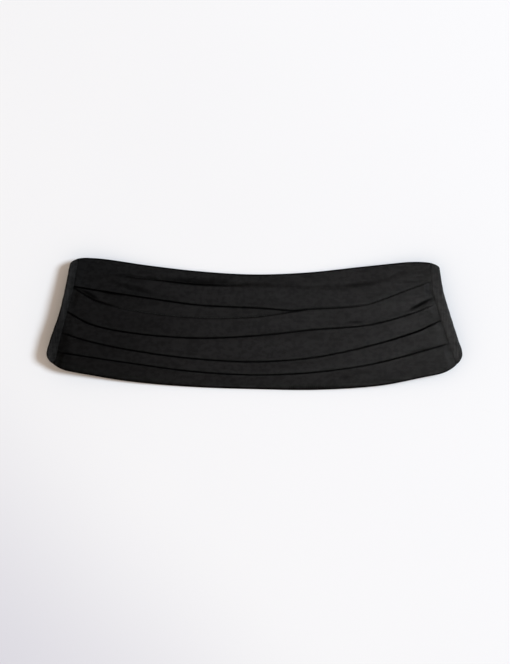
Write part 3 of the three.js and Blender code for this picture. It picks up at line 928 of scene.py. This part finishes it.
class Looks:
    def __init__(self, name):
        self.material = bpy.data.materials.new(name)
        self.material.use_nodes = True
        self.tree = self.material.node_tree
        self.shader = self.tree.nodes["Principled BSDF"]

    def put(self, socket, value):
        """Links a Value or a socket, and sets anything else as the default."""
        if isinstance(value, Value):
            self.tree.links.new(value.socket, socket)
        elif isinstance(value, bpy.types.NodeSocket):
            self.tree.links.new(value, socket)
        else:
            socket.default_value = value

    def node(self, kind, settings=None, **sockets):
        """A node of a kind, with its settings first and then its sockets by name, where a blank in
        a socket's name is written as an underscore."""
        made = self.tree.nodes.new(kind)
        for key, value in (settings or {}).items():
            setattr(made, key, value)
        for key, value in sockets.items():
            self.put(made.inputs[key.replace("_", " ")], value)
        return made

    def place(self):
        """Where a point of the piece lies, in metres."""
        return self.node("ShaderNodeTexCoord").outputs["Object"]

    def shade_bell(self, x, y, centre, size, turn):
        """1 in the middle of a turned ellipse, falling smoothly to 0 at its edge."""
        c, n = math.cos(turn), math.sin(turn)
        dx, dy = x - centre[0], y - centre[1]
        a = dx * (c / size[0]) + dy * (n / size[0])
        b = dy * (c / size[1]) - dx * (n / size[1])
        return 1 - (a * a + b * b).ramp(0, 1)

    def split(self, vector):
        """A vector's three numbers."""
        parts = self.node("ShaderNodeSeparateXYZ", Vector=vector)
        return [Value(self, parts.outputs[k]) for k in range(3)]

    def shade_marks(self):
        """The three numbers kept at the mesh's points: painted shade, and the distances in from the
        lower and from the upper edge.
        """
        return self.split(self.node("ShaderNodeAttribute", {"attribute_name": "shade_marks"}).outputs[1])

    def cloth_uv(self):
        """The cloth map as two numbers, in metres along and across the cloth."""
        uv = self.node("ShaderNodeUVMap", {"uv_map": "cloth"}).outputs["UV"]
        return self.split(uv)[:2]

    def noise(self, stretch, detail=3.0):
        """Noise between 0 and 1, with so many waves a metre along X, Y and Z."""
        vector = self.node("ShaderNodeVectorMath", {"operation": "MULTIPLY"})
        self.put(vector.inputs[0], self.place())
        self.put(vector.inputs[1], stretch)
        made = self.node(
            "ShaderNodeTexNoise",
            Vector=vector.outputs[0],
            Scale=1.0,
            Detail=detail,
            Roughness=0.55,
        )
        return Value(self, made.outputs["Fac"])

    def colour(self, share, low, high):
        """A mix of two colours, each three numbers or a colour socket."""
        mix = self.node("ShaderNodeMix", {"data_type": "RGBA"})
        self.put(mix.inputs["Factor"], share)
        for k, value in ((6, low), (7, high)):
            self.put(mix.inputs[k], (*value, 1) if isinstance(value, tuple) else value)
        return mix.outputs[2]

    def bump(self, height, distance, normal=None):
        """Height in metres once multiplied by distance."""
        made = self.node("ShaderNodeBump", Height=height, Distance=distance, Strength=1.0)
        if normal is not None:
            self.put(made.inputs["Normal"], normal)
        return made.outputs["Normal"]

    def finish(self, shade_and_flecks=None, **sockets):
        """Sets the shader's sockets; where shade_and_flecks is 1 the surface is lightless black
        instead, which lays on painted shade as well as the cloth's own dark marks.
        """
        for key, value in sockets.items():
            self.put(self.shader.inputs[key.replace("_", " ")], value)
        if shade_and_flecks is not None:
            black = self.node("ShaderNodeBsdfDiffuse", Color=(0.0003, 0.0003, 0.0003, 1))
            mix = self.node("ShaderNodeMixShader", Fac=shade_and_flecks)
            self.put(mix.inputs[1], self.shader.outputs["BSDF"])
            self.put(mix.inputs[2], black.outputs["BSDF"])
            self.put(self.tree.nodes["Material Output"].inputs["Surface"], mix.outputs[0])
        return self.material


FULL_TURN = 2 * math.pi
RIB_PITCH = 0.9 * MM
THREAD_PITCH = 0.7 * MM
RIM = (0.8 * MM, 2 * MM)  # painted shade on the long edges, full up to the first and gone by the second
STITCH_PITCH = 2 * MM
STITCH_ROW = (3.5 * MM, 5 * MM)  # the stitches end this far in from the lower edge
STITCH_START = (32 * MM, 38 * MM)
STITCH_STOP = (76 * MM, 84 * MM)
# How far each kind of mark turns the satin to lightless black: painted shade in the crevices and
# on the rims, and the cloth's own stitches, mottling and flecks.
CREVICE_DARK = 0.85
RIM_DARK = 0.75
STITCH_DARK = 0.8
MOTTLE_DARK = 0.12
FLECK_DARK = 0.28


def satin(name, dark, light, streaks):
    """Black satin: fine diagonal ribs in the cloth map, soft blotches, streaks along the cloth,
    small flecks, a row of stitches, and painted shade in creases, in crevices and on the rims, the
    last two placed by the shade marks."""
    looks = Looks(name)
    u, v = looks.cloth_uv()
    crevice, from_lower, from_upper = looks.shade_marks()
    x, y, _ = looks.split(looks.place())
    blotches = looks.noise((26, 60, 60), detail=4.0)
    fine = looks.noise((900, 1400, 900), detail=2.0)
    drawn = looks.noise(streaks, detail=3.0)
    mottled = looks.noise((55, 110, 55), detail=4.0)
    flecks = looks.noise((200, 260, 200), detail=2.0)
    rim = 1 - from_lower.ramp(*RIM) * from_upper.ramp(*RIM)
    # Painted shade in the crevices, beside the seams and on the rims, then in the listed creases.
    shade_and_flecks = (crevice * CREVICE_DARK).at_least(rim * RIM_DARK)
    for cx, cy, half_long, half_short, turn, dark_share in SHADE_PATCHES:
        size = (half_long * MM, half_short * MM)
        bell = looks.shade_bell(x, y, (cx * MM, cy * MM), size, math.radians(turn))
        shade_and_flecks = shade_and_flecks.at_least(bell * dark_share)
    stitches = (x * (FULL_TURN / STITCH_PITCH)).sine().ramp(0.1, 0.8)
    stitches = stitches * (1 - from_lower.ramp(*STITCH_ROW))
    stitches = stitches * x.ramp(*STITCH_START) * (1 - x.ramp(*STITCH_STOP))
    shade_and_flecks = shade_and_flecks.at_least(mottled.ramp(0.66, 0.3) * MOTTLE_DARK)
    shade_and_flecks = shade_and_flecks.at_least(stitches * STITCH_DARK)
    shade_and_flecks = shade_and_flecks + (1 - shade_and_flecks) * flecks.ramp(0.55, 0.41) * FLECK_DARK
    ribs = ((u * 2 + v) * (FULL_TURN / RIB_PITCH)).sine() * 0.5 + 0.5
    threads = (v * (FULL_TURN / THREAD_PITCH)).sine() * 0.5 + 0.5
    weave = ribs * 0.6 + threads * 0.4
    tone = blotches * 0.35 + drawn.ramp(0.35, 0.65) * 0.45 + fine * 0.2
    soft = looks.bump(drawn + blotches * 0.8, 0.5 * MM)
    return looks.finish(
        shade_and_flecks=shade_and_flecks,
        Base_Color=looks.colour(tone, dark, light),
        Roughness=0.55 + (blotches - 0.5) * 0.16 + weave * 0.04,
        Specular_IOR_Level=0.1,
        Normal=looks.bump(weave + fine * 0.6, 0.03 * MM, normal=soft),
    )


WEFT_PITCH = 0.8 * MM
WARP_PITCH = 1.6 * MM


def webbing(name):
    """Black webbing: ribs across it and rows of warp along it."""
    looks = Looks(name)
    u, v = looks.cloth_uv()
    ribs = (u * (math.pi / WEFT_PITCH)).sine().size()
    rows = (v * (math.pi / WARP_PITCH)).sine().size()
    fine = looks.noise((900, 900, 900))
    return looks.finish(
        Base_Color=looks.colour(fine, (0.005, 0.005, 0.005), (0.014, 0.014, 0.014)),
        Roughness=0.75 + fine * 0.1,
        Specular_IOR_Level=0.2,
        Normal=looks.bump(ribs * rows + fine * 0.3, 0.18 * MM),
    )


def clasp_plastic(name):
    """Black moulded plastic with a fine spark-eroded grain."""
    looks = Looks(name)
    grain = looks.noise((2200, 2200, 2200), detail=2.0)
    wear = looks.noise((120, 120, 120))
    return looks.finish(
        Base_Color=looks.colour(wear, (0.006, 0.006, 0.007), (0.013, 0.013, 0.014)),
        Roughness=0.32 + wear * 0.15,
        Normal=looks.bump(grain, 0.02 * MM),
    )


def pale_board(name):
    """A matt near-white board with faint broad clouds, a little greyer towards one corner."""
    looks = Looks(name)
    x, y, _ = looks.split(looks.place())
    clouds = looks.noise((2.2, 2.2, 2.2), detail=2.0)
    corner = (x + y).ramp(-0.7, -0.25)
    plain = looks.colour(clouds, (0.88, 0.877, 0.883), (0.915, 0.911, 0.916))
    return looks.finish(
        Base_Color=looks.colour(corner, (0.7, 0.69, 0.74), plain),
        Roughness=0.9,
        Specular_IOR_Level=0.0,
    )


def grey(share):
    """A neutral colour."""
    return (share, share, share)


satin_black = satin("satin_black", grey(0.0003), grey(0.0022), streaks=(10, 160, 60))
# The end bands take the same satin made lighter, as painted sheen where they catch the light.
band_satin = satin("band_satin", grey(0.0045), grey(0.023), streaks=(700, 14, 200))
webbing_black = webbing("webbing_black")
plastic_black = clasp_plastic("clasp_plastic_black")

# Pieces

front, front_run = pleated_front(satin_black)
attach(front, "root")
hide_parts("pleated_front")
front_length = 2 * float(np.mean([seam_at(side, PANEL_HEIGHT / 2) for side in (-1, 1)]))

for side, word in ((-1, "left"), (1, "right")):
    band, band_flat = end_band(side, f"band_{word}", band_satin)
    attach(band, "root")
    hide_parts(f"end_band_{word}")
    strap, strap_length = strap_half(side, f"webbing_{word}", webbing_black)
    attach(strap, "root")
    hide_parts(f"strap_{word}")

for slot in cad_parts["clasp"].material_slots:
    slot.material = plastic_black

# Floor, light and camera

# One pixel of the picture is this long, and the part's middle lies at this pixel.
PIXEL = 1.043 * MM
PICTURE = (510, 664)
PART_MIDDLE = (254.5, 324)
VIEW_X = (PICTURE[0] / 2 - PART_MIDDLE[0]) * PIXEL
VIEW_Y = (PART_MIDDLE[1] - PICTURE[1] / 2) * PIXEL
CAMERA_HEIGHT = 2.5
FOCUS_HEIGHT = 0.008  # that of the sash's face, where the scale holds
SENSOR = 24
BOARD_REACH = 4.0

floor_mesh = bpy.data.meshes.new("board")
floor_mesh.from_pydata(
    [(BOARD_REACH * i, BOARD_REACH * j, 0) for i, j in ((-1, -1), (1, -1), (1, 1), (-1, 1))],
    [],
    [(0, 1, 2, 3)],
)
floor_mesh.materials.append(pale_board("pale_board"))
board = bpy.data.objects.new("board", floor_mesh)
bpy.context.scene.collection.objects.link(board)

camera_data = bpy.data.cameras.new("camera")
camera_data.sensor_fit = "VERTICAL"
camera_data.sensor_height = SENSOR
camera_data.lens = SENSOR * (CAMERA_HEIGHT - FOCUS_HEIGHT) / (PICTURE[1] * PIXEL)
camera_data.clip_start = 0.05
camera = bpy.data.objects.new("camera", camera_data)
camera.location = (VIEW_X, VIEW_Y, CAMERA_HEIGHT)
bpy.context.scene.collection.objects.link(camera)
bpy.context.scene.camera = camera


def area_light(name, place, size, power, aim, colour=(1, 1, 1)):
    """A round soft light at a place, aimed at a point."""
    data = bpy.data.lights.new(name, "AREA")
    data.shape = "DISK"
    data.size = size
    data.energy = power
    data.color = colour
    light = bpy.data.objects.new(name, data)
    light.location = place
    way = np.array(aim, float) - np.array(place, float)
    flat = math.hypot(way[0], way[1])
    light.rotation_euler = (math.atan2(flat, -way[2]), 0, math.atan2(way[1], way[0]) - math.pi / 2)
    light.visible_camera = False
    bpy.context.scene.collection.objects.link(light)
    return light


WINDOW_COLOUR = (0.714, 0.827, 0.94)
WORLD_COLOUR = (1.0, 0.843, 0.71, 1)
WORLD_STRENGTH = 0.534
LAMP_SIZE = 0.5
# Two small lamps with grids that only put gloss on the cloth, one on the right end and a weaker one
# on the lower edge: name, place, power, the point it is aimed at, and its spread in degrees.
GLOSS_LAMPS = [
    ("gloss", (0.54, -0.08, 1.6), 1.45, (0.33, 0, 0), 25),
    ("lower_gloss", (-0.02, -0.55, 1.5), 0.17, (-0.06, -0.06, 0), 20),
]

area_light("window", (6.75, 1.6, 7.07), 3.5, 1000, aim=(0, 0, 0), colour=WINDOW_COLOUR)
for name, place, power, aim, spread in GLOSS_LAMPS:
    lamp = area_light(name, place, LAMP_SIZE, power, aim)
    lamp.data.spread = math.radians(spread)
    lamp.visible_diffuse = False

world = bpy.data.worlds.new("studio")
world.use_nodes = True
background = world.node_tree.nodes["Background"]
background.inputs["Color"].default_value = WORLD_COLOUR
background.inputs["Strength"].default_value = WORLD_STRENGTH
bpy.context.scene.world = world
bpy.context.scene.view_settings.view_transform = "Standard"
